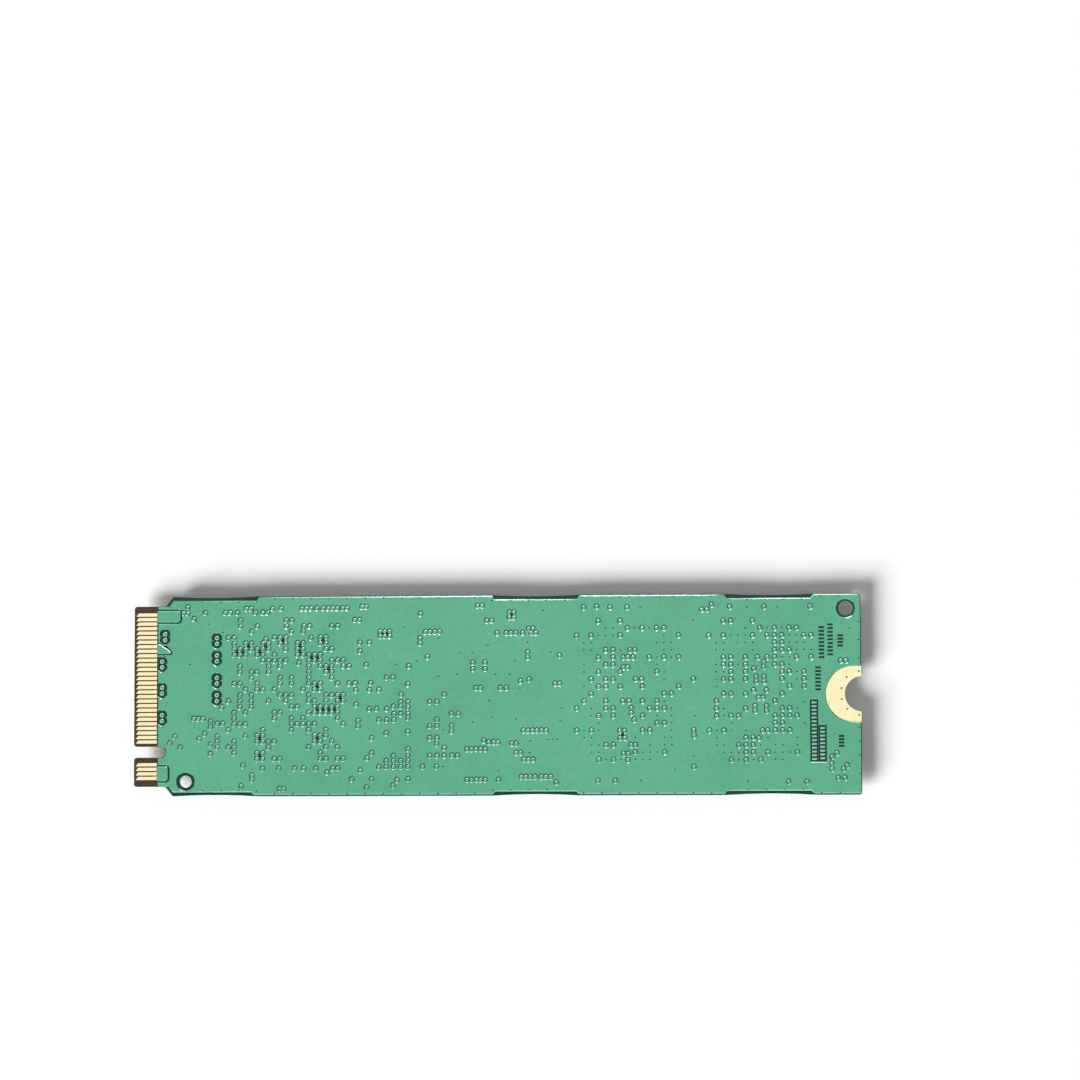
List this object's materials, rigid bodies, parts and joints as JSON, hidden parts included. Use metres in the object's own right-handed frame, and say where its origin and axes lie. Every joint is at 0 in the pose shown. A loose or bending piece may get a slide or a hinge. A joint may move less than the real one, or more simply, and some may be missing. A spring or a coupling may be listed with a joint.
{
  "type": "solid-state storage card",
  "caption": "Thin plug-in storage card with keyed gold edge contacts, green masked bare side, memory and controller chips on the other side and a gold-rimmed screw notch.",
  "frame": {"origin": "middle of the card's outline, on the surface that it lies on with its chips down", "axes": "+X along the card from the contact edge to the screw end, +Z out of the bare side"},
  "size_m": [0.08, 0.022, 0.0022],
  "materials": {
    "laminate": "glass-fibre laminate under green solder mask, brown where the mask ends",
    "masked_copper": "copper under semi-gloss green solder mask",
    "gold_plate": "pale gold plating",
    "black_mould": "matt black moulded epoxy",
    "package_laminate": "dark green package laminate",
    "solder": "dull solder",
    "tinned_metal": "tinned, satin",
    "inductor_grey": "dark grey pressed powder",
    "crystal_ceramic": "dark ceramic",
    "crystal_can": "plated lid, satin",
    "capacitor_ceramic": "tan ceramic",
    "resistor_film": "black glaze"
  },
  "bodies": {
    "root": {"circuit_board": "laminate", "bare_side_ground_copper": "masked_copper", "bare_side_supply_copper": "masked_copper", "lane_via_lands": "masked_copper", "chip_side_ground_copper": "masked_copper", "bare_side_contacts": "gold_plate", "chip_side_contacts": "gold_plate", "bare_side_screw_pad": "gold_plate", "chip_side_screw_pad": "gold_plate", "controller_cap": "black_mould", "dram_cap": "black_mould", "nand_1_cap": "black_mould", "nand_2_cap": "black_mould", "power_chip_body": "black_mould", "load_switch_body": "black_mould", "controller_substrate": "package_laminate", "dram_substrate": "package_laminate", "nand_1_substrate": "package_laminate", "nand_2_substrate": "package_laminate", "controller_balls": "solder", "dram_balls": "solder", "nand_1_balls": "solder", "nand_2_balls": "solder", "power_chip_leads": "tinned_metal", "load_switch_leads": "tinned_metal", "inductor_terminals": "tinned_metal", "crystal_pads": "tinned_metal", "bulk_capacitor_terminals": "tinned_metal", "small_capacitor_terminals": "tinned_metal", "resistor_terminals": "tinned_metal", "inductor_bodies": "inductor_grey", "crystal_base": "crystal_ceramic", "crystal_lid": "crystal_can", "bulk_capacitor_bodies": "capacitor_ceramic", "small_capacitor_bodies": "capacitor_ceramic", "resistor_bodies": "resistor_film"}
  },
  "joints": []
}
